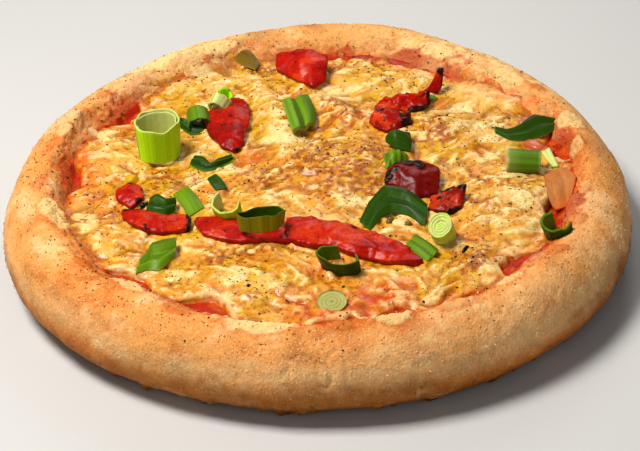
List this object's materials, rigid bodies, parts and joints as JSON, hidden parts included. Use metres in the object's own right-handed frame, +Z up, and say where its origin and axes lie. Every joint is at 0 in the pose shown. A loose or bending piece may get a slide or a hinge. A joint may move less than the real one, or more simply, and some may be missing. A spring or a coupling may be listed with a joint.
{
  "type": "deep dish pizza",
  "caption": "Round deep pan pizza with a tall puffy rim, tomato sauce, melted cheese, roasted red pepper and sliced spring onion.",
  "frame": {"origin": "middle of the pizza on the surface it stands on", "axes": "+Z up through the toppings, -Y towards the camera side (front), +X to the right in the picture"},
  "size_m": [0.2592, 0.2655, 0.0462],
  "materials": {
    "baked_dough": "matt baked crust",
    "tomato_sauce": "wet",
    "melted_cheese": "oily, melted",
    "roasted_pepper": "shiny skin, charred edges",
    "spring_onion": "satin leaf",
    "onion_stalk": "satin, pale",
    "cooked_onion": "soft, see-through"
  },
  "bodies": {
    "root": {"cheese": "melted_cheese", "cooked_onion": "cooked_onion", "crust": "baked_dough", "onion_leaf_arched": "spring_onion", "onion_leaf_behind": "spring_onion", "onion_leaf_bright": "spring_onion", "onion_leaf_curved": "spring_onion", "onion_leaf_front": "spring_onion", "onion_leaf_left": "spring_onion", "onion_leaf_olive": "spring_onion", "onion_leaf_right": "spring_onion", "onion_leaf_small": "spring_onion", "onion_ring_dark": "spring_onion", "onion_ring_open": "spring_onion", "onion_ring_pale": "spring_onion", "onion_ring_small": "spring_onion", "onion_ring_wide": "spring_onion", "onion_slice_pale": "onion_stalk", "onion_slice_sunk": "onion_stalk", "onion_sliver": "spring_onion", "onion_tube_back": "spring_onion", "onion_tube_dark": "spring_onion", "onion_tube_dark_back": "spring_onion", "onion_tube_large": "spring_onion", "onion_tube_lime": "spring_onion", "onion_tube_right": "spring_onion", "onion_tube_striped": "spring_onion", "onion_tube_white": "spring_onion", "pepper_back": "roasted_pepper", "pepper_centre": "roasted_pepper", "pepper_charred": "roasted_pepper", "pepper_corner": "roasted_pepper", "pepper_curl": "roasted_pepper", "pepper_left": "roasted_pepper", "pepper_shrivelled": "roasted_pepper", "pepper_strip_left": "roasted_pepper", "pepper_strip_middle": "roasted_pepper", "pepper_strip_right": "roasted_pepper", "pepper_tail": "roasted_pepper", "sauce": "tomato_sauce"}
  },
  "joints": []
}
